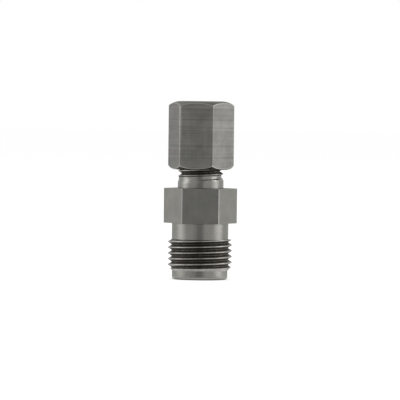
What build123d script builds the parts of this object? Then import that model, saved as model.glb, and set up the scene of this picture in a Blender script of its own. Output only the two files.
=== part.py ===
"""Face seal fitting: a threaded face-seal end joined to a quarter-inch tube end with its nut.

The fitting body is turned from hexagon bar. Its lower end is a 5/8-18 male thread with a gasket
bead in its end face, and its upper end is a 7/16-20 thread with the cone that grips the tube's
ferrules. The nut traps the two ferrules on the body. Everything is coaxial with Z and stands on
the nose face at Z = 0. Lengths are in millimetres. The body's threads are true helices. The
nut's own thread, out of sight inside it, is a plain bore at its roots.
"""

import os
from math import ceil, radians, tan

from build123d import *

# Tube end: everything there is sized outward from the quarter-inch tube
tube_diameter = 6.35
nut_hole_clearance = 0.10  # radial, tube to the hole in the nut's top
socket_clearance = 0.08  # radial, tube to its socket in the body
ferrule_clearance = 0.05  # radial, tube to the two ferrules
flow_bore_diameter = 4.8
tube_insertion = 9.6  # from the body's top face down to the shoulder that stops the tube

# Face-seal end
seal_thread_diameter = 15.84  # 5/8-18, major
seal_thread_pitch = 1.4111  # 18 to the inch
seal_thread_length = 7.58
seal_thread_crest_height = 2.9  # a crest on the +X side, above the nose face
thread_chamfer_angle = 45  # from the end face
nose_undercut = 0.18  # radial, inside the thread's roots
nose_length = 2.28
nose_rounding = 0.6
bead_ring_diameter = 7.4
bead_radius = 0.45
bead_below_rim = 0.05  # so that the part stands on the rim and not on the bead
gasket_recess_diameter = 9.8

# Body between the threads
neck_undercut = 0.06  # radial, inside the seal thread's roots
neck_length = 4.05
body_flats_inset = 0.045  # radial, inside the seal thread's crests
body_hex_height = 8.62
body_hex_corner_rounding = 0.25
collar_step = 0.11  # radial, outside the tube thread's crests
collar_length = 1.8

# Tube thread, shared by the body and the nut
tube_thread_wall = 2.365  # radial, from the tube to the crests: 7/16-20, 11.08 major
tube_thread_pitch = 1.27  # 20 to the inch
tube_thread_length = 12.3
tube_thread_crest_height = 0.53  # a crest on the +X side, above the collar
tube_thread_top_chamfer = 0.7
thread_depth_ratio = 0.6134  # of the pitch, crest to root
root_flat_ratio = 1 / 6  # of the pitch
flank_angle = 30
groove_overrun = 0.1  # radial, how far a groove is cut past the crests

# Ferrule seat in the body, and the two ferrules
mouth_lead = 0.75  # radial, from the front ferrule's nose out to the mouth's edge
mouth_half_angle = 20
seat_gap = 0.06  # along the axis, between one seated piece and the next
front_nose_wall = 0.325  # radial, outside the ferrules' hole
front_half_angle = 15
front_band_length = 1.214  # the straight rim above the cone
front_rim_wall = 0.45  # radial, outside the recess that takes the back ferrule
recess_lead = 0.3  # radial, from the back ferrule's nose out to the recess's edge
back_nose_wall = 0.375  # radial, outside the ferrules' hole
back_nose_taper = 0.25  # radial
back_nose_length = 1.3
back_flange_inset = 0.1  # radial, inside the front ferrule's rim
back_flange_length = 0.65
back_shoulder_length = 0.65
shoulder_angle = 45

# Nut
nut_wall = 1.484  # radial, thread bore to flats: 9/16 in. across
nut_height = 16.9
nut_hex_corner_rounding = 0.12
nut_turn_angle = -10  # about Z, at finger tightness
nut_top_rim_inset = 1.034  # radial, inside the flats
nut_bottom_rim_inset = 0.724
nut_chamfer_angle = 30  # from the end faces
nut_top_wall = 2.45
nut_hole_chamfer = 0.3
ferrule_bore_clearance = 0.25  # radial, round the front ferrule's rim
ferrule_bore_length = 1.9
relief_length = 2.3
thread_bore_clearance = 0.12  # radial, over the body's crests, out to the nut's own roots
relief_depth = 0.2  # radial, beyond the nut's roots
entry_chamfer = 0.35


def slope(angle):
    """Rise for each unit of run at an angle in degrees."""
    return tan(radians(angle))


def groove_half_width(pitch, crest, radius):
    """Half the axial width of a male thread's groove at a radius."""
    root = crest - thread_depth_ratio * pitch
    return root_flat_ratio * pitch / 2 + (radius - root) * slope(flank_angle)


def thread_groove(pitch, start, end, floor, mouth):
    """The helical groove of a thread: a trapezium swept up the axis from the +Y side.

    start and end are heights, and floor and mouth are each (radius, half the axial width).
    """
    floor_radius, floor_half = floor
    mouth_radius, mouth_half = mouth
    with BuildPart() as groove:
        with BuildLine(Plane.XY.rotated((0, 0, 90))) as path:
            Helix(pitch, end - start, floor_radius, center=(0, 0, start))
        with BuildSketch(Plane.YZ):
            with BuildLine():
                Polyline(
                    (floor_radius, start - floor_half),
                    (floor_radius, start + floor_half),
                    (mouth_radius, start + mouth_half),
                    (mouth_radius, start - mouth_half),
                    close=True,
                )
            make_face()
        sweep(path=path.line, is_frenet=True)
    return groove.part


# Heights up the body
nose_top = nose_length
seal_thread_top = nose_top + seal_thread_length
body_hex_bottom = seal_thread_top + neck_length
body_hex_top = body_hex_bottom + body_hex_height
collar_top = body_hex_top + collar_length
body_top = collar_top + tube_thread_length
tube_stop = body_top - tube_insertion

# Radii
seal_crest = seal_thread_diameter / 2
seal_root = seal_crest - thread_depth_ratio * seal_thread_pitch
nose_radius = seal_root - nose_undercut
neck_radius = seal_root - neck_undercut
body_flat = seal_crest - body_flats_inset
tube_crest = tube_diameter / 2 + tube_thread_wall
tube_root = tube_crest - thread_depth_ratio * tube_thread_pitch
collar_radius = tube_crest + collar_step
thread_bore = tube_crest + thread_bore_clearance
relief = thread_bore + relief_depth
flow_radius = flow_bore_diameter / 2
socket_radius = tube_diameter / 2 + socket_clearance
ferrule_hole = tube_diameter / 2 + ferrule_clearance
nut_hole = tube_diameter / 2 + nut_hole_clearance
recess_radius = gasket_recess_diameter / 2
bead_ring = bead_ring_diameter / 2
front_nose = ferrule_hole + front_nose_wall
mouth_radius = front_nose + mouth_lead
back_nose = ferrule_hole + back_nose_wall
front_recess = back_nose + recess_lead
front_rim = front_recess + front_rim_wall
back_waist = back_nose + back_nose_taper
back_flange = front_rim - back_flange_inset
ferrule_bore = front_rim + ferrule_bore_clearance
nut_flat = thread_bore + nut_wall
corner_per_flat = 2 / 3**0.5  # centre to corner, for each unit from centre to flat
body_corner = body_flat * corner_per_flat
nut_corner = nut_flat * corner_per_flat

# How the ferrules stack from the body's mouth up to the nut's shoulder
mouth_bottom = body_top - (mouth_radius - socket_radius) / slope(mouth_half_angle)
front_bottom = body_top - (mouth_radius - front_nose) / slope(mouth_half_angle) + seat_gap
front_band_bottom = front_bottom + (front_rim - front_nose) / slope(front_half_angle)
front_top = front_band_bottom + front_band_length
back_bottom = front_top - (front_recess - back_nose) / slope(shoulder_angle) + seat_gap
back_flange_bottom = back_bottom + back_nose_length
back_flange_top = back_flange_bottom + back_flange_length
back_top = back_flange_top + back_shoulder_length
back_end = back_flange - back_shoulder_length * slope(shoulder_angle)
shoulder_top = back_top + seat_gap + (back_end - nut_hole) / slope(shoulder_angle)
shoulder_bottom = shoulder_top - (ferrule_bore - nut_hole) / slope(shoulder_angle)
nut_top = shoulder_top + nut_top_wall
nut_bottom = nut_top - nut_height
relief_top = shoulder_bottom - ferrule_bore_length
relief_bottom = relief_top - relief_length

# The groove between the seal thread's ridges runs out into the air at both of its ends
seal_groove_low = nose_top - seal_thread_pitch / 2
seal_groove_high = seal_thread_top + seal_thread_pitch / 2
seal_groove_phase = seal_thread_crest_height + seal_thread_pitch * 3 / 4
seal_groove_start = seal_groove_phase - seal_thread_pitch * ceil(
    (seal_groove_phase - seal_groove_low) / seal_thread_pitch
)
seal_mouth = seal_crest + groove_overrun
seal_groove = thread_groove(
    seal_thread_pitch,
    seal_groove_start,
    seal_groove_high,
    (seal_root, groove_half_width(seal_thread_pitch, seal_crest, seal_root)),
    (seal_mouth, groove_half_width(seal_thread_pitch, seal_crest, seal_mouth)),
)

# The body's tube thread starts at the back, just above the collar
tube_crest_level = collar_top + tube_thread_crest_height
tube_groove_start = tube_crest_level - tube_thread_pitch / 4
tube_mouth = tube_crest + groove_overrun
tube_groove = thread_groove(
    tube_thread_pitch,
    tube_groove_start,
    body_top + tube_thread_pitch / 2,
    (tube_root, groove_half_width(tube_thread_pitch, tube_crest, tube_root)),
    (tube_mouth, groove_half_width(tube_thread_pitch, tube_crest, tube_mouth)),
)

with BuildPart() as fitting_body:
    # The turned form: nose, seal thread, neck, collar and tube thread
    with BuildSketch(Plane.XZ) as turned:
        with BuildLine():
            Polyline(
                (0, 0),
                (nose_radius, 0),
                (nose_radius, nose_top),
                (seal_crest, nose_top + (seal_crest - nose_radius) * slope(thread_chamfer_angle)),
                (seal_crest, seal_thread_top),
                (neck_radius, seal_thread_top),
                (neck_radius, body_hex_bottom + body_hex_height / 2),
                (collar_radius, body_hex_bottom + body_hex_height / 2),
                (collar_radius, collar_top),
                (tube_crest, collar_top),
                (tube_crest, body_top - tube_thread_top_chamfer),
                (tube_crest - tube_thread_top_chamfer, body_top),
                (0, body_top),
                close=True,
            )
        make_face()
        nose_corner = turned.vertices().group_by(Axis.Y)[0].sort_by(Axis.X)[-1]
        fillet(nose_corner, nose_rounding)
    revolve(axis=Axis.Z)
    # The wrench hexagon, left from the bar
    with BuildSketch(Plane.XY.offset(body_hex_bottom)) as bar:
        RegularPolygon(body_corner, 6)
        fillet(bar.vertices(), body_hex_corner_rounding)
    extrude(amount=body_hex_height)
    add(seal_groove, mode=Mode.SUBTRACT)
    add(tube_groove, mode=Mode.SUBTRACT)
    # The gasket recess with its bead, the flow bore, the tube socket and the ferrule cone
    gasket_recess_depth = bead_radius + bead_below_rim
    with BuildSketch(Plane.XZ):
        with BuildLine():
            Polyline(
                (bead_ring + bead_radius, gasket_recess_depth),
                (recess_radius, gasket_recess_depth),
                (recess_radius, 0),
                (0, 0),
                (0, body_top),
                (mouth_radius, body_top),
                (socket_radius, mouth_bottom),
                (socket_radius, tube_stop),
                (flow_radius, tube_stop),
                (flow_radius, gasket_recess_depth),
                (bead_ring - bead_radius, gasket_recess_depth),
            )
            ThreePointArc(
                (bead_ring - bead_radius, gasket_recess_depth),
                (bead_ring, bead_below_rim),
                (bead_ring + bead_radius, gasket_recess_depth),
            )
        make_face()
    revolve(axis=Axis.Z, mode=Mode.SUBTRACT)

with BuildPart() as front_ferrule:
    with BuildSketch(Plane.XZ):
        with BuildLine():
            Polyline(
                (ferrule_hole, front_bottom),
                (front_nose, front_bottom),
                (front_rim, front_band_bottom),
                (front_rim, front_top),
                (front_recess, front_top),
                (ferrule_hole, front_top - (front_recess - ferrule_hole) / slope(shoulder_angle)),
                close=True,
            )
        make_face()
    revolve(axis=Axis.Z)

with BuildPart() as back_ferrule:
    with BuildSketch(Plane.XZ):
        with BuildLine():
            Polyline(
                (ferrule_hole, back_bottom),
                (back_nose, back_bottom),
                (back_waist, back_flange_bottom),
                (back_flange, back_flange_bottom),
                (back_flange, back_flange_top),
                (back_end, back_top),
                (ferrule_hole, back_top),
                close=True,
            )
        make_face()
    revolve(axis=Axis.Z)

with BuildPart() as tube_nut:
    with BuildSketch(Plane.XY.offset(nut_bottom)) as nut_bar:
        RegularPolygon(nut_corner, 6, rotation=nut_turn_angle)
        fillet(nut_bar.vertices(), nut_hex_corner_rounding)
    extrude(amount=nut_height)
    # Both end faces are turned down to a rim
    top_rim = nut_flat - nut_top_rim_inset
    bottom_rim = nut_flat - nut_bottom_rim_inset
    with BuildSketch(Plane.XZ):
        with BuildLine():
            Polyline(
                (0, nut_bottom),
                (bottom_rim, nut_bottom),
                (nut_corner, nut_bottom + (nut_corner - bottom_rim) * slope(nut_chamfer_angle)),
                (nut_corner, nut_top - (nut_corner - top_rim) * slope(nut_chamfer_angle)),
                (top_rim, nut_top),
                (0, nut_top),
                close=True,
            )
        make_face()
    revolve(axis=Axis.Z, mode=Mode.INTERSECT)
    # Entry chamfer, thread bore, relief, ferrule bore, shoulder and tube hole
    with BuildSketch(Plane.XZ):
        with BuildLine():
            Polyline(
                (0, nut_bottom),
                (thread_bore + entry_chamfer, nut_bottom),
                (thread_bore, nut_bottom + entry_chamfer),
                (thread_bore, relief_bottom),
                (relief, relief_bottom),
                (relief, relief_top),
                (ferrule_bore, relief_top),
                (ferrule_bore, shoulder_bottom),
                (nut_hole, shoulder_top),
                (nut_hole, nut_top - nut_hole_chamfer),
                (nut_hole + nut_hole_chamfer, nut_top),
                (0, nut_top),
                close=True,
            )
        make_face()
    revolve(axis=Axis.Z, mode=Mode.SUBTRACT)

os.makedirs("parts", exist_ok=True)
for name, piece in (
    ("fitting_body", fitting_body),
    ("tube_nut", tube_nut),
    ("front_ferrule", front_ferrule),
    ("back_ferrule", back_ferrule),
):
    piece.part.label = name
    export_step(piece.part, f"parts/{name}.step")
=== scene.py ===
"""Face seal fitting: the looks. A machined body with two rolled threads, its hexagon nut and two ferrules.

Every piece is one closed mesh in the part's own frame. Profiles are written in millimetres as rings of
(radius, height) round the Z axis, and their corners are softened as a deburred edge is. The threads are
helical grooves whose depth is a formula of angle and height.
"""

from math import cos, pi, radians, sin, tan

import bmesh
import bpy
import numpy as np
from mathutils import Matrix, Vector


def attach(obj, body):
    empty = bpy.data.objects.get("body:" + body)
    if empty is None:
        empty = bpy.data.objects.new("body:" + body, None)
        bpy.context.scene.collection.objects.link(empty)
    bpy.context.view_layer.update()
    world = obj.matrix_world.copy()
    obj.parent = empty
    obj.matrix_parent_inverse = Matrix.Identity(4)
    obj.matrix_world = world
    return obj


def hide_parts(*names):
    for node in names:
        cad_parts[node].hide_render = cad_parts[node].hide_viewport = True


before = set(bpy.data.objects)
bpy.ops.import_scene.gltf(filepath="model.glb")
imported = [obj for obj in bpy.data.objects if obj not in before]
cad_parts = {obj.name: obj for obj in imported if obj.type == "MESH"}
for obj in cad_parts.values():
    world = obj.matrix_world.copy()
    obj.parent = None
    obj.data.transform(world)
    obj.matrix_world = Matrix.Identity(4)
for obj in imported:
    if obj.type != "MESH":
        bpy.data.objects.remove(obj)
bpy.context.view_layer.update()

MM = 0.001
TURN = 2 * pi
WELD = 2e-7  # metres

# Sizes of the CAD source, in millimetres: nose and seal thread
FLOW_R = 2.4
RECESS_R = 4.9
RECESS_DEPTH = 0.5
BEAD_RING_R = 3.7
BEAD_R = 0.45
SEAL_PITCH = 1.4111
SEAL_CREST = 7.92
SEAL_ROOT = 7.0544
SEAL_CREST_HEIGHT = 2.9  # a crest over +X
SEAL_GROOVE_START = SEAL_CREST_HEIGHT - 1.25 * SEAL_PITCH  # the groove's centre over +Y
SEAL_TOP = 9.86
NOSE_R = 6.8744
NOSE_ROUNDING = 0.6
SEAL_CHAMFER = tan(radians(45))
# Neck, hexagon and collar
NECK_R = 6.9944
BODY_FLAT = 7.875
BODY_CORNER = 0.25
BODY_HEX_LOW = 13.91
BODY_HEX_HIGH = 22.53
COLLAR_R = 5.65
COLLAR_TOP = 24.33
# Tube thread, ferrule mouth and socket
TUBE_PITCH = 1.27
TUBE_CREST = 5.54
TUBE_ROOT = 4.761
TUBE_GROOVE_START = 24.5425  # the groove's centre over +Y
TUBE_CHAMFER = 0.7
BODY_TOP = 36.63
MOUTH_R = 4.3
SOCKET_R = 3.255
SOCKET_TOP = 33.759
TUBE_STOP = 27.03
# Nut
NUT_FLAT = 7.144
NUT_TURN = -10.0  # degrees
NUT_LOW = 27.124
NUT_HIGH = 44.024
NUT_ENTRY_R = 6.01
NUT_BORE_R = 5.66
NUT_THREAD_TOP = 36.049
RELIEF_R = 5.86
RELIEF_TOP = 38.349
FERRULE_BORE_R = 4.6
NUT_SHOULDER = (40.249, 41.574)  # the foot and top of the cone behind the ferrules
NUT_HOLE_R = 3.275
NUT_HOLE_LEAD = 0.3

# Forms that only the looks have, in millimetres
GROOVE_OVERRUN = 0.1  # a fading groove's floor starts this far outside the crests
RUN_OUT = (-0.15, 1.3)  # turns from its start over which the tube thread's groove deepens
RUN_OUT_TOP = BODY_HEX_HIGH + 4
RUN_OUT_SLOPE = 0.3  # of the first turn's lower side
RUN_OUT_EASE = 0.1  # from the first turn's centre down to that slope
SHOULDER_SLOPE = 0.5  # of the cone above the collar
RIDGE_TURNS = (0.45, 0.95)  # over which that cone grows into the first ridge
FIRST_CREST = 26.2
CREST_BLEND = 0.04
CROWN_RIM, CROWN_BALL = 5.0, 5.28  # the nut's top starts to fall away here, on this radius
FOOT_RIM, FOOT_BALL = 6.1, 2.7
NUT_CORNER = 0.2
NUT_RIDGE_R = 4.95  # the crests of the nut's own thread
NUT_RIDGE_HALF = 0.165  # half their width
CUT_LINE = 42.42  # a cutter's line round the nut
# Widths of the corners painted as bare worn metal with a highlight
BODY_WORN_HIGHLIGHT = [0.9] * 6
NUT_WORN_HIGHLIGHT = [0.6, 1.1, 0.5, 0.9, 1.3, 0.1]  # degrees either side of each corner, counted from NUT_TURN

# Heights where the patches of a skin meet
FLOW_SEAM = 15.0
NOSE_TOP = 2.2  # a little below the solid's 2.28
SEAL_SEAM = 3.4
COLLAR_SEAM = 23.0
TUBE_SEAM = 35.8


def smooth_min(a, b, k):
    """The lesser of two lengths, with a rounding of about k where they cross."""
    h = np.clip(0.5 + 0.5 * (b - a) / k, 0, 1)
    return b + (a - b) * h - k * h * (1 - h)


def smooth_max(a, b, k):
    """The greater of two lengths, rounded in the same way."""
    return -smooth_min(-a, -b, k)


def hexagon(theta, flat, rounding, turn=0.0):
    """Radius of a hexagon with rounded corners, at each angle."""
    off = (np.degrees(theta) - turn + 30) % 60 - 30
    a = np.radians(np.abs(off))
    straight = flat / np.cos(np.radians(30) - a)
    centre = (flat - rounding) / cos(radians(30))
    inside = np.clip(rounding**2 - (centre * np.sin(a)) ** 2, 0, None)
    round_off = centre * np.cos(a) + np.sqrt(inside)
    tangent = rounding * tan(radians(30)) * sin(radians(60))
    limit = np.arctan2(tangent, flat / cos(radians(30)) - rounding * tan(radians(30)) / 2)
    return np.where(a < limit, round_off, straight)


def worn_corner_highlight(theta, turn, widths):
    """Mark for worn vertical edges with a painted highlight: -1 within so many degrees of a hexagon's
    corner, else 0.
    """
    turned = np.degrees(theta) - turn
    off = np.abs((turned + 30) % 60 - 30)
    return np.where(off < np.take(widths, np.round(turned / 60).astype(int), mode="wrap"), -1.0, 0.0)


def around(turn, near, step_count):
    """Angles round the axis: close together at each hexagon corner, even between."""
    far = np.linspace(near[-1], 60 - near[-1], step_count)[1:-1]
    near = np.array(near)
    sector = np.concatenate([-near[:0:-1], near, far])
    return np.radians(np.sort(np.concatenate([sector + turn + 60 * k for k in range(6)])))


class Skin:
    """Collects patches of one closed surface round the Z axis, then welds them into a mesh."""

    def __init__(self, theta, seam):
        """theta holds one turn of angles, and seam is the one where helical rows begin and end."""
        self.theta = theta
        cut = int(np.argmin(np.abs(theta - seam)))
        self.unrolled = np.concatenate([theta[cut:], theta[:cut] + TURN, theta[cut : cut + 1] + TURN])
        self.points = []
        self.faces = []
        self.finish = []
        self.marks = []
        self.count = 0

    def patch(self, rows, finish, helical=False):
        """Adds a patch of rows of (radius, height, mark), whose columns are the skin's angles."""
        angles = self.unrolled if helical else self.theta
        r, z, mark = (
            np.array([np.broadcast_to(row[i], angles.shape) for row in rows], float) for i in range(3)
        )
        xyz = np.stack([r * np.cos(angles), r * np.sin(angles), z], axis=-1) * MM
        self.points.append(xyz.reshape(-1, 3))
        self.marks.append(mark.reshape(-1))
        left = self.count + np.arange(r.size).reshape(r.shape)
        right = left[:, 1:] if helical else np.roll(left, -1, axis=1)
        left = left[:, :-1] if helical else left
        quads = np.stack([left[:-1], right[:-1], right[1:], left[1:]], axis=-1).reshape(-1, 4)
        self.faces.append(quads)
        self.finish.append(np.full(len(quads), finish))
        self.count += r.size

    def build(self, name, materials):
        """Welds the patches and makes the mesh object."""
        mesh = bpy.data.meshes.new(name)
        mesh.from_pydata(np.concatenate(self.points), [], np.concatenate(self.faces).tolist())
        mark = mesh.attributes.new("mark", "FLOAT", "POINT")
        mark.data.foreach_set("value", np.concatenate(self.marks).astype(np.float32))
        mesh.polygons.foreach_set("material_index", np.concatenate(self.finish).astype(np.int32))
        b = bmesh.new()
        b.from_mesh(mesh)
        bmesh.ops.remove_doubles(b, verts=b.verts, dist=WELD)
        bmesh.ops.recalc_face_normals(b, faces=b.faces)
        b.to_mesh(mesh)
        b.free()
        for material in materials:
            mesh.materials.append(material)
        mesh.polygons.foreach_set("use_smooth", np.ones(len(mesh.polygons), bool))
        mesh.set_sharp_from_angle(angle=radians(38))
        obj = bpy.data.objects.new(name, mesh)
        bpy.context.scene.collection.objects.link(obj)
        return obj


def softened(corners):
    """Rows through a profile's corners. A corner is (radius, height, softness, mark), where a positive
    mark paints shade and oil into the steel's colour and a negative one bare metal with a painted
    highlight.

    A soft corner becomes a small curve between points that lie its softness back along the two
    sides, with one more row outside each, so that the flat sides stay flat in shading.
    """
    rows = []
    for i, (r, z, soft, mark) in enumerate(corners):
        if soft <= 0 or i in (0, len(corners) - 1):
            rows.append((r, z, mark))
            continue
        sides = []
        for other in (corners[i - 1], corners[i + 1]):
            dr, dz = other[0] - r, other[1] - z
            length = np.maximum(np.hypot(dr, dz), 1e-9)
            back = np.minimum(soft, 0.4 * length) / length
            far = np.minimum(soft * 1.4, 0.45 * length) / length
            sides.append(((r + dr * back, z + dz * back), (r + dr * far, z + dz * far)))
        (a, outer_a), (c, outer_c) = sides
        rows.append((*outer_a, 0))
        for t in (0, 1 / 3, 2 / 3, 1):
            p, q, s = (1 - t) ** 2, 2 * t * (1 - t), t * t
            rows.append((p * a[0] + q * r + s * c[0], p * a[1] + q * z + s * c[1], mark))
        rows.append((*outer_c, 0))
    return rows


def fading_floor(turns, fade, crest, root):
    """Radius of a groove's floor so many turns after its start. It deepens over the turns in fade."""
    grown = np.clip((turns - fade[0]) / (fade[1] - fade[0]), 0, 1)
    return crest + GROOVE_OVERRUN - (crest + GROOVE_OVERRUN - root) * grown


def groove_radius(theta, z, pitch, start, crest, root, flat, fade=None):
    """Radius of the wall of a helical groove at each angle and height.

    start is the height of the groove's centre over +Y, and flat is half the width of its floor.
    fade is (first, last), the turns after start between which the groove comes in from nothing.
    """
    turns = (z - start) / pitch
    along = (theta - pi / 2) / TURN
    whole = np.round(turns - along)
    centre = start + pitch * (along + whole)
    off = np.abs(z - centre)
    floor = root
    if fade is not None:
        floor = fading_floor(along + whole, fade, crest, root) + 0.5 * (along + whole <= fade[0])
    return smooth_max(floor, root + (off - flat) / tan(radians(30)), 0.06)


def helical_heights(theta, pitch, start, low, high, fractions):
    """Heights of grid rows that climb with the thread, cut off at low and high."""
    along = (theta - pi / 2) / TURN
    first = int(np.floor((low - start) / pitch)) - 3
    last = int(np.ceil((high - start) / pitch)) + 3
    rows = [
        start + pitch * (along + whole + fraction)
        for whole in range(first, last + 1)
        for fraction in fractions
    ]
    rows = [np.clip(row, low, high) for row in rows if row.max() > low and row.min() < high]
    return [np.full(theta.shape, low), *rows, np.full(theta.shape, high)]


def thread_mark(outer, groove, crest, root):
    """Mark for a thread: -1 on its crests, for bare metal and a painted highlight, 0 on plain walls beside
    it, up to 1 in its roots, for painted shade and oil.
    """
    depth = np.clip((crest - groove) / (crest - root), 0, 1)
    plain = np.where(np.abs(outer - crest) < 0.05, -1.0, 0.0)
    return np.where(groove < outer - 0.03, depth, plain)


def arc(centre_r, centre_z, radius, first, last, count, mark=0.0):
    """Corners with no softness along an arc in the profile. Angles are from outward to up."""
    return [
        (centre_r + radius * cos(radians(a)), centre_z + radius * sin(radians(a)), 0, mark)
        for a in np.linspace(first, last, count)
    ]


# ---------------------------------------------------------------- fitting body
TURNED, FLATS, THREAD, BORE = range(4)
# Rows over one pitch of a thread, close together where the flanks meet floors and crests
RIDGE_ROWS = (0, 0.05, 0.085, 0.12, 0.2, 0.3, 0.39, 0.425, 0.445, 0.47)
RIDGE_ROWS += (0.53, 0.555, 0.575, 0.61, 0.7, 0.8, 0.88, 0.915, 0.95)


def fitting_body(materials):
    skin = Skin(around(0, [0, 0.27, 0.53, 0.8, 1.2], 27), pi / 2)
    theta, unrolled = skin.theta, skin.unrolled

    # Flow bore, gasket recess with its bead, end face and nose
    # Painted shade darkens the bore, the recess and the nose's rounding by the table; a painted highlight
    # brightens the edges
    low = [(FLOW_R, FLOW_SEAM, 0, 0.6), (FLOW_R, RECESS_DEPTH, 0.04, -0.5)]
    low += [(BEAD_RING_R - BEAD_R, RECESS_DEPTH, 0.03, 0.6)]
    low += arc(BEAD_RING_R, RECESS_DEPTH, BEAD_R, 180, 360, 13)[1:-1]
    low += [(BEAD_RING_R + BEAD_R, RECESS_DEPTH, 0.03, 0.6)]
    low += [(RECESS_R, RECESS_DEPTH, 0.05, 0.6), (RECESS_R, 0.0, 0.05, -1)]
    centre = NOSE_R - NOSE_ROUNDING
    low += [(centre - 0.15, 0.0, 0, 0), *arc(centre, NOSE_ROUNDING, NOSE_ROUNDING, -90, 0, 9, 0.35)]
    low += [(NOSE_R, 0.8, 0, 0), (NOSE_R, NOSE_TOP, 0, 0)]
    skin.patch(softened(low), TURNED)

    # Seal thread, with the chamfer at its foot
    def seal_wall(angles, z):
        cone = NOSE_R + (z - NOSE_TOP) / SEAL_CHAMFER
        outer = smooth_min(cone, SEAL_CREST, 0.05)
        groove = groove_radius(
            angles, z, SEAL_PITCH, SEAL_GROOVE_START, SEAL_CREST, SEAL_ROOT, SEAL_PITCH / 12
        )
        wall = smooth_min(outer, groove, CREST_BLEND)
        return wall, z, thread_mark(outer, groove, SEAL_CREST, SEAL_ROOT)

    heights = np.linspace(NOSE_TOP, SEAL_SEAM, 17)
    skin.patch([seal_wall(theta, np.full(theta.shape, z)) for z in heights], THREAD)
    rows = helical_heights(unrolled, SEAL_PITCH, SEAL_GROOVE_START, SEAL_SEAM, SEAL_TOP, RIDGE_ROWS)
    skin.patch([seal_wall(unrolled, z) for z in rows], THREAD, helical=True)

    # Neck and hexagon
    flats = hexagon(theta, BODY_FLAT, BODY_CORNER)
    end_wall = seal_wall(theta, np.full(theta.shape, SEAL_TOP))[0]
    edge = 0.12
    # Here and above the hexagon, painted shade fills the inside corners and a painted highlight lines the
    # outer edges
    neck = [(end_wall, SEAL_TOP, 0, -0.5), (NECK_R, SEAL_TOP, 0.08, 0.7)]
    neck += [(NECK_R, BODY_HEX_LOW, 0.1, 0.7)]
    neck += [(flats, BODY_HEX_LOW, 0.07, -1), (flats, BODY_HEX_LOW + edge, 0, 0)]
    skin.patch(softened(neck), TURNED)
    # The hexagon's corners are painted as bare worn metal with a highlight
    worn_highlight = worn_corner_highlight(theta, 0, BODY_WORN_HIGHLIGHT)
    skin.patch([(flats, BODY_HEX_LOW + edge, worn_highlight), (flats, BODY_HEX_HIGH - edge, worn_highlight)], FLATS)
    top = [(flats, BODY_HEX_HIGH - edge, 0, 0), (flats, BODY_HEX_HIGH, 0.07, -1)]
    top += [(COLLAR_R, BODY_HEX_HIGH, 0.1, 0.7), (COLLAR_R, COLLAR_SEAM, 0, 0)]
    skin.patch(softened(top), TURNED)

    # Collar with the thread's run-out, tube thread and its top chamfer
    def tube_wall(angles, z):
        along = (angles - pi / 2) / TURN
        above = z - (TUBE_GROOVE_START + TUBE_PITCH * along)  # the centre of the groove's first turn
        below = (above < 0) & (z < RUN_OUT_TOP)
        regrown = (along - RIDGE_TURNS[0]) / (RIDGE_TURNS[1] - RIDGE_TURNS[0])
        # Below that turn the collar falls away as a cone, which grows into the first ridge
        cone = COLLAR_R - SHOULDER_SLOPE * np.clip(z - COLLAR_TOP - 0.05, 0, None)
        ridge = cone + (TUBE_CREST - cone) * np.clip(regrown, 0, 1)
        shoulder = np.where(cone > TUBE_CREST, cone, np.where(below, ridge, TUBE_CREST))
        outer = smooth_min(shoulder, TUBE_CREST - (z - BODY_TOP + TUBE_CHAMFER), 0.05)
        groove = groove_radius(
            angles, z, TUBE_PITCH, TUBE_GROOVE_START, TUBE_CREST, TUBE_ROOT, TUBE_PITCH / 12, RUN_OUT
        )
        # The turn's lower side is a slope that eases down to the collar, except near the seam
        slope = fading_floor(along, RUN_OUT, TUBE_CREST, TUBE_ROOT)
        slope = slope + RUN_OUT_SLOPE * np.clip(-above - RUN_OUT_EASE, 0, None)
        full = np.clip(np.maximum(1 - along / 0.15, regrown), 0, 1)
        eased = below & (above > -TUBE_PITCH) & (above < -RUN_OUT_EASE)
        groove = np.where(eased, groove * full + np.minimum(slope, groove + 0.4) * (1 - full), groove)
        # Painted shade, partly a film of oil, lies under the first crest, which is less worn than the
        # others and has a weaker painted highlight
        mark = thread_mark(outer, groove, TUBE_CREST, TUBE_ROOT)
        mark = np.where((z < FIRST_CREST) & (mark < 0), mark * 0.35, mark)
        in_run_out = (groove < outer - 0.01) & (np.abs(above) < 0.6) & (z < RUN_OUT_TOP)
        mark = np.where(in_run_out, np.where(above > 0.3, 1.0, 0.1), mark)
        return smooth_min(outer, groove, CREST_BLEND), z, mark

    rows = helical_heights(unrolled, TUBE_PITCH, TUBE_GROOVE_START, COLLAR_SEAM, TUBE_SEAM, RIDGE_ROWS)
    skin.patch([tube_wall(unrolled, z) for z in rows], THREAD, helical=True)
    heights = np.linspace(TUBE_SEAM, BODY_TOP, 17)
    skin.patch([tube_wall(theta, np.full(theta.shape, z)) for z in heights], THREAD)

    # End face, ferrule mouth, tube socket and bore
    end_wall = tube_wall(theta, np.full(theta.shape, BODY_TOP))[0]
    # Painted shade in the socket and bore, a painted highlight on the edges
    inside = [(end_wall, BODY_TOP, 0, -0.5), (MOUTH_R, BODY_TOP, 0.05, -1)]
    inside += [(SOCKET_R, SOCKET_TOP, 0.05, 0), (SOCKET_R, TUBE_STOP, 0.04, 0.5)]
    inside += [(FLOW_R, TUBE_STOP, 0.05, -0.5), (FLOW_R, FLOW_SEAM, 0, 0.6)]
    skin.patch(softened(inside), BORE)
    piece = skin.build("body_turned", materials)
    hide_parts("fitting_body")
    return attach(piece, "body")


# ------------------------------------------------------------------------- nut
def dome(flats, rim, ball, count):
    """Radii from the rim out to the flats, each with how far the nut's end has fallen away there."""
    radii = [rim + (flats - rim) * t for t in np.linspace(0, 1, count)]
    return [(r, ball - np.sqrt(ball**2 - (r - rim) ** 2)) for r in radii]


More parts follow.
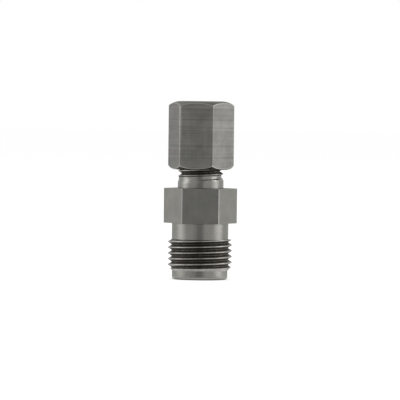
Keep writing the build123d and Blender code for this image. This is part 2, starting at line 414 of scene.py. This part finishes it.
def tube_nut(materials):
    skin = Skin(around(NUT_TURN, [0, 0.2, 0.42, 0.65, 1.0], 24), radians(110))
    theta, unrolled = skin.theta, skin.unrolled
    flats = hexagon(theta, NUT_FLAT, NUT_CORNER, NUT_TURN)
    edge = 0.2
    crown = dome(flats, CROWN_RIM, CROWN_BALL, 12)
    foot = dome(flats, FOOT_RIM, FOOT_BALL, 10)
    # The top is painted a little darker, its edges with a painted highlight
    top = [(NUT_HOLE_R + NUT_HOLE_LEAD, NUT_HIGH, 0, -0.5)]
    top += [(r, NUT_HIGH - drop, 0, 0.25) for r, drop in crown[:-1]]
    top_cut = NUT_HIGH - crown[-1][1]
    top += [(flats, top_cut, 0.15, -1), (flats, top_cut - edge, 0, 0)]
    skin.patch(softened(top), TURNED)
    low_cut = NUT_LOW + foot[-1][1]
    # The nut's corners are painted as bare worn metal with a highlight
    worn_highlight = worn_corner_highlight(theta, NUT_TURN, NUT_WORN_HIGHLIGHT)
    line = np.minimum(worn_highlight, -0.45)
    sides = [(flats, top_cut - edge, worn_highlight), (flats, CUT_LINE + 0.08, worn_highlight), (flats, CUT_LINE, line)]
    sides += [(flats, CUT_LINE - 0.08, worn_highlight), (flats, low_cut + edge, worn_highlight)]
    skin.patch(sides, FLATS)
    # The foot under the nut is painted dark, as shade under the nut
    low = [(flats, low_cut + edge, 0, 0), (flats, low_cut, 0.24, -1)]
    low += [(r, NUT_LOW + drop, 0, 0.95) for r, drop in foot[-2::-1]]
    low += [(NUT_ENTRY_R, NUT_LOW, 0, 0.6)]
    skin.patch(softened(low), TURNED)

    # Entry chamfer and the internal thread, whose ridges stand in the body's grooves
    def bore_wall(angles, z):
        ridge = groove_radius(
            angles, z, TUBE_PITCH, TUBE_GROOVE_START, NUT_BORE_R, NUT_RIDGE_R, NUT_RIDGE_HALF
        )
        wall = smooth_min(ridge, NUT_BORE_R, CREST_BLEND)
        wall = np.maximum(wall, NUT_ENTRY_R - (z - NUT_LOW))
        # The bore between the ridges is painted dark with shade
        return wall, z, np.clip((wall - NUT_RIDGE_R) / (NUT_BORE_R - NUT_RIDGE_R), 0, 1)

    rows = helical_heights(unrolled, TUBE_PITCH, TUBE_GROOVE_START, NUT_LOW, NUT_THREAD_TOP, RIDGE_ROWS)
    skin.patch([bore_wall(unrolled, z) for z in rows], THREAD, helical=True)
    end_wall = bore_wall(theta, np.full(theta.shape, NUT_THREAD_TOP))[0]
    # Painted shade in the relief and behind the ferrules
    inside = [(end_wall, NUT_THREAD_TOP, 0, 0.5), (RELIEF_R, NUT_THREAD_TOP, 0.03, 0.8)]
    inside += [(RELIEF_R, RELIEF_TOP, 0.03, 0.8), (FERRULE_BORE_R, RELIEF_TOP, 0.04, 0)]
    inside += [(FERRULE_BORE_R, NUT_SHOULDER[0], 0.04, 0.5), (NUT_HOLE_R, NUT_SHOULDER[1], 0.04, 0)]
    inside += [(NUT_HOLE_R, NUT_HIGH - NUT_HOLE_LEAD, 0.04, 0)]
    inside += [(NUT_HOLE_R + NUT_HOLE_LEAD, NUT_HIGH, 0, -0.5)]
    skin.patch(softened(inside), BORE)
    piece = skin.build("nut_milled", materials)
    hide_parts("tube_nut")
    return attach(piece, "nut")


# -------------------------------------------------------------------- ferrules
def ferrule(name, node, corners, materials):
    skin = Skin(np.radians(np.arange(0, 360, 3.0)), 0.0)
    a, b = corners[-1], corners[0]
    seam = ((a[0] + b[0]) / 2, (a[1] + b[1]) / 2, 0, 0)
    skin.patch(softened([seam, *corners, seam]), TURNED)
    piece = skin.build(name, materials)
    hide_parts(node)
    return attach(piece, "ferrules")


# The last column paints a highlight with bare metal on the edges, and shade in the back ferrule's hollow
FRONT_FERRULE = [
    (3.225, 34.629, 0.05, -0.5),
    (3.55, 34.629, 0.06, -0.8),
    (4.35, 37.615, 0.1, -0.4),
    (4.35, 38.829, 0.06, -0.8),
    (3.9, 38.829, 0.06, -0.8),
    (3.225, 38.154, 0.05, -0.3),
]
BACK_FERRULE = [
    (3.225, 38.589, 0.05, -0.5),
    (3.6, 38.589, 0.06, -0.8),
    (3.85, 39.889, 0.06, 0.5),
    (4.25, 39.889, 0.06, -0.8),
    (4.25, 40.539, 0.08, -0.5),
    (3.6, 41.189, 0.06, -0.5),
    (3.225, 41.189, 0.05, -0.5),
]


# ------------------------------------------------------------------- materials
ROUND_LINES = (25, 25, 9000)
DRAWN_LINES = (7000, 7000, 60)
MILLED_LINES = (40, 40, 5200)
LIGHT = (0.47, 0.465, 0.445, 1)
DARK = (0.36, 0.355, 0.335, 1)
MILLED_LIGHT = (0.42, 0.415, 0.402, 1)
MILLED_DARK = (0.24, 0.236, 0.224, 1)
FERRULE_LIGHT = (0.55, 0.545, 0.525, 1)
# Painted shade for roots, recesses and the nut's underside, partly cutting oil
OIL_AND_SHADE = (0.105, 0.095, 0.082, 1)
# Bare worn metal with a painted highlight, for edges and crests
BARE_AND_HIGHLIGHT = (0.76, 0.75, 0.72, 1)
KNOCK_HEIGHT = 0.0249  # in metres, where the tube thread runs out at the collar


class Nodes:
    """Short-hand for building a node tree."""

    def __init__(self, tree):
        self.tree = tree
        tree.nodes.clear()

    def add(self, kind, inputs=None, **settings):
        node = self.tree.nodes.new(kind)
        for key, value in settings.items():
            setattr(node, key, value)
        for key, value in (inputs or {}).items():
            if isinstance(value, bpy.types.NodeSocket):
                self.tree.links.new(value, node.inputs[key])
            else:
                node.inputs[key].default_value = value
        return node

    def math(self, operation, a, b=0.0, clamp=False):
        return self.add("ShaderNodeMath", {0: a, 1: b}, operation=operation, use_clamp=clamp).outputs[0]

    def noise(self, place, scale, stretch, detail=3.0, roughness=0.5):
        moved = self.add("ShaderNodeMapping", {"Vector": place, "Scale": stretch})
        inputs = {"Vector": moved.outputs[0], "Scale": scale, "Detail": detail, "Roughness": roughness}
        return self.add("ShaderNodeTexNoise", inputs).outputs["Fac"]

    def fit(self, value, low, high, to_low, to_high):
        inputs = {"Value": value, "From Min": low, "From Max": high, "To Min": to_low, "To Max": to_high}
        return self.add("ShaderNodeMapRange", inputs, clamp=True).outputs[0]

    def blend(self, factor, a, b):
        mix = self.add("ShaderNodeMix", data_type="RGBA")
        for socket, value in ((mix.inputs[0], factor), (mix.inputs[6], a), (mix.inputs[7], b)):
            if isinstance(value, bpy.types.NodeSocket):
                self.tree.links.new(value, socket)
            else:
                socket.default_value = value
        return mix.outputs[2]


def steel(name, light, dark, roughness, lines, line_depth, dent=0.0, streaks=0.0, knocks=0.0):
    """Machined stainless steel.

    lines is the fineness of the tool marks per axis, line_depth their height in metres. dent is the
    height of broad waves, streaks the strength of a milling cutter's drag marks, and knocks the
    height of small spots round KNOCK_HEIGHT.
    """
    material = bpy.data.materials.new(name)
    material.use_nodes = True
    n = Nodes(material.node_tree)
    place = n.add("ShaderNodeTexCoord").outputs["Object"]
    mark = n.add("ShaderNodeAttribute", attribute_name="mark").outputs["Fac"]
    broad = n.noise(place, 260, (1, 1, 1), 4, 0.6)
    fine = n.noise(place, 1.0, lines, 3, 0.65)
    coarse = n.noise(place, 0.28, lines, 2, 0.5)
    blotches = n.noise(place, 900, (1, 1, 0.6), 4, 0.65)
    tone = n.math("ADD", n.math("MULTIPLY", fine, 0.45), n.math("MULTIPLY", broad, 0.55))
    if streaks:
        cutter = n.math("SUBTRACT", n.noise(place, 0.3, lines, 2, 0.7), 0.5)
        cutter = n.math("MULTIPLY", cutter, streaks)
        drag = n.math("SUBTRACT", n.noise(place, 1.0, (1500, 1500, 50), 3, 0.6), 0.5)
        drag = n.math("MULTIPLY", drag, streaks * 0.3)
        tone = n.math("ADD", tone, n.math("ADD", cutter, drag))
    colour = n.blend(n.fit(tone, 0.32, 0.68, 0, 1), dark, light)
    # Painted shade, partly cutting oil, darkens roots, recesses and inside corners; edges get bare metal
    # and a painted highlight
    depth = n.math("MULTIPLY", n.fit(mark, 0.1, 0.85, 0, 1), n.fit(blotches, 0.3, 0.7, 0.75, 1.1), True)
    colour = n.blend(depth, colour, OIL_AND_SHADE)
    edge = n.math("MULTIPLY", n.fit(mark, -0.05, -1, 0, 0.9), n.fit(blotches, 0.35, 0.6, 0.6, 1), True)
    colour = n.blend(edge, colour, BARE_AND_HIGHLIGHT)
    rough = n.fit(tone, 0.3, 0.7, roughness - 0.05, roughness + 0.06)
    rough = n.math("ADD", rough, n.math("MULTIPLY", depth, 0.22))
    height = n.math("ADD", n.math("MULTIPLY", fine, 0.5), n.math("MULTIPLY", coarse, 1.0))
    bump = n.add("ShaderNodeBump", {"Height": height, "Strength": 1.0, "Distance": line_depth})
    if dent:
        waves = n.noise(place, 420, (1, 1, 1.4), 1, 0.4)
        inputs = {"Height": waves, "Strength": 1.0, "Distance": dent, "Normal": bump.outputs[0]}
        bump = n.add("ShaderNodeBump", inputs)
    if knocks:
        height = n.add("ShaderNodeSeparateXYZ", {"Vector": place}).outputs["Z"]
        away = n.math("ABSOLUTE", n.math("SUBTRACT", height, KNOCK_HEIGHT))
        near = n.fit(away, 0.0003, 0.0010, 1.0, 0.12)
        spots = n.noise(place, 1500, (1, 1, 1.6), 2, 0.5)
        inputs = {"Height": spots, "Strength": near, "Distance": knocks, "Normal": bump.outputs[0]}
        bump = n.add("ShaderNodeBump", inputs)
    inputs = {"Base Color": colour, "Metallic": 1.0, "Roughness": rough, "Normal": bump.outputs[0]}
    shader = n.add("ShaderNodeBsdfPrincipled", inputs)
    n.add("ShaderNodeOutputMaterial", {"Surface": shader.outputs[0]})
    return material


turned = steel("turned_steel", LIGHT, DARK, 0.27, ROUND_LINES, 3e-6, dent=6e-6)
thread = steel("thread_steel", LIGHT, DARK, 0.26, ROUND_LINES, 2e-6, dent=1e-5, knocks=3e-5)
drawn = steel("drawn_hexagon_steel", LIGHT, DARK, 0.33, DRAWN_LINES, 2e-6)
milled = steel("milled_nut_steel", MILLED_LIGHT, MILLED_DARK, 0.34, MILLED_LINES, 5e-6, streaks=0.6)
bored = steel("bored_steel", LIGHT, DARK, 0.32, ROUND_LINES, 3e-6)
ferrule_metal = steel("ferrule_steel", FERRULE_LIGHT, LIGHT, 0.22, ROUND_LINES, 2e-6)

fitting_body([turned, drawn, thread, bored])
tube_nut([turned, milled, thread, bored])
ferrule("front_ferrule_turned", "front_ferrule", FRONT_FERRULE, [ferrule_metal])
ferrule("back_ferrule_turned", "back_ferrule", BACK_FERRULE, [ferrule_metal])


# ---------------------------------------------------------------------- studio
FLOOR_GLOW = 0.55
CONTACT = (0.0066, 0.0072)  # metres from the axis over which the fitting's foot shades the floor
CARD_NEAR, CARD_FAR = 0.0080, 1.35  # metres from the axis
CARD_LIFT, CARD_TOP = 0.0004, 1.4  # metres above the table


def square(half, z):
    """Corners of a level square, in metres."""
    return [(sx * half, sy * half, z) for sx, sy in ((-1, -1), (1, -1), (1, 1), (-1, 1))]


def stage_sheet(name, material, points, faces):
    mesh = bpy.data.meshes.new(name)
    mesh.from_pydata(points, [], faces)
    mesh.materials.append(material)
    obj = bpy.data.objects.new(name, mesh)
    bpy.context.scene.collection.objects.link(obj)
    return obj


def background_rays(n):
    """1 for the rays that see the white background: camera, mirror and see-through rays."""
    path = n.add("ShaderNodeLightPath").outputs
    seen = n.math("MAXIMUM", path["Is Camera Ray"], path["Is Glossy Ray"])
    return n.math("MAXIMUM", seen, path["Is Transmission Ray"])


def floor_material():
    material = bpy.data.materials.new("white_floor")
    material.use_nodes = True
    n = Nodes(material.node_tree)
    seen = background_rays(n)
    place = n.add("ShaderNodeTexCoord").outputs["Object"]
    reach = n.add("ShaderNodeVectorMath", {0: place}, operation="LENGTH").outputs["Value"]
    mirror = n.add("ShaderNodeLightPath").outputs["Is Glossy Ray"]
    shade = n.math("MULTIPLY", mirror, n.fit(reach, *CONTACT, 0.85, 0.0))
    seen = n.math("MULTIPLY", seen, n.math("SUBTRACT", 1.0, shade))
    paint = n.add("ShaderNodeBsdfDiffuse", {"Color": (0.8, 0.8, 0.8, 1)})
    strength = n.math("MULTIPLY", seen, FLOOR_GLOW)
    glow = n.add("ShaderNodeEmission", {"Color": (1, 1, 1, 1), "Strength": strength})
    both = n.add("ShaderNodeAddShader", {0: paint.outputs[0], 1: glow.outputs[0]})
    n.add("ShaderNodeOutputMaterial", {"Surface": both.outputs[0]})
    return material


def card_material(name, level):
    """A studio card that glossy rays see at a plain grey level."""
    material = bpy.data.materials.new(name)
    material.use_nodes = True
    n = Nodes(material.node_tree)
    glow = n.add("ShaderNodeEmission", {"Color": (level, level, level * 0.97, 1), "Strength": 1.0})
    n.add("ShaderNodeOutputMaterial", {"Surface": glow.outputs[0]})
    return material


def card(name, level, first, last):
    """A studio card round the part and along the table, that only mirror rays see.

    It spans from first to last, in degrees to the right of the camera's side.
    """
    angles = np.radians(np.linspace(first, last, 13))
    arcs = ((CARD_NEAR, CARD_LIFT), (CARD_FAR, CARD_LIFT), (CARD_FAR, CARD_TOP))
    points = [(r * sin(a), -r * cos(a), z) for r, z in arcs for a in angles]
    faces = [(i, i + 1, i + 14, i + 13) for k in (0, 13) for i in range(k, k + 12)]
    obj = stage_sheet(name, card_material(name, level), points, faces)
    obj.visible_camera = False
    obj.visible_diffuse = False
    obj.visible_shadow = False
    return obj


def softbox(name, place, size, watts, tint=(1, 1, 1)):
    light = bpy.data.lights.new(name, "AREA")
    light.shape = "RECTANGLE"
    light.size, light.size_y = size
    light.energy = watts
    light.color = tint
    obj = bpy.data.objects.new(name, light)
    obj.location = place
    target = Vector((0, 0, 0.02))
    obj.rotation_euler = (target - Vector(place)).to_track_quat("-Z", "Y").to_euler()
    bpy.context.scene.collection.objects.link(obj)
    obj.visible_camera = False
    return obj


stage_sheet("floor", floor_material(), square(4, 0), [(0, 1, 2, 3)])
card("front_card", 0.215, -13, 13)
card("near_left_card", 0.375, -28, -13)
card("front_left_card", 0.46, -64, -28)
card("front_right_card", 0.50, 13, 60)
card("right_card", 0.80, 60, 101)
card("back_right_card", 0.525, 101, 168)
card("back_card", 0.35, 168, 192)
card("back_left_card", 0.50, 192, 252)
card("left_card", 0.70, 252, 296)
overhead = card_material("overhead_card", 0.27)
lid = stage_sheet("overhead_card", overhead, square(CARD_FAR, CARD_TOP), [(0, 1, 2, 3)])
lid.visible_camera = lid.visible_diffuse = lid.visible_shadow = False
softbox("left_softbox", (-0.75, -0.05, 0.30), (0.35, 0.7), 0.55)
softbox("right_softbox", (0.75, -0.05, 0.30), (0.35, 0.7), 0.62)
softbox("top_softbox", (0, 0.15, 0.9), (0.7, 0.7), 1.6).visible_glossy = False

world = bpy.data.worlds.new("studio")
world.use_nodes = True
bpy.context.scene.world = world
n = Nodes(world.node_tree)
strength = n.fit(background_rays(n), 0, 1, 0.55, 1.0)
sky = n.add("ShaderNodeBackground", {"Color": (1, 1, 1, 1), "Strength": strength})
n.add("ShaderNodeOutputWorld", {"Surface": sky.outputs[0]})

view = bpy.context.scene.view_settings
view.view_transform = "Standard"

# The photograph: 98.8 mm wide at the part, from a little above, rolled two thirds of a degree
camera_data = bpy.data.cameras.new("camera")
camera_data.lens = 364.0
camera_data.sensor_width = 36.0
camera_data.clip_start, camera_data.clip_end = 0.05, 20
camera = bpy.data.objects.new("camera", camera_data)
bpy.context.scene.collection.objects.link(camera)
bpy.context.scene.camera = camera
elevation, distance, roll = radians(1.5), 1.0, radians(0.67)
aim = Vector((-0.00011, 0.0, 0.0196))
back = Vector((0, -cos(elevation), sin(elevation)))
camera.rotation_mode = "QUATERNION"
turned_by = Matrix.Rotation(roll, 3, "Z").to_quaternion()
camera.rotation_quaternion = (-back).to_track_quat("-Z", "Y") @ turned_by
camera.location = aim + back * distance
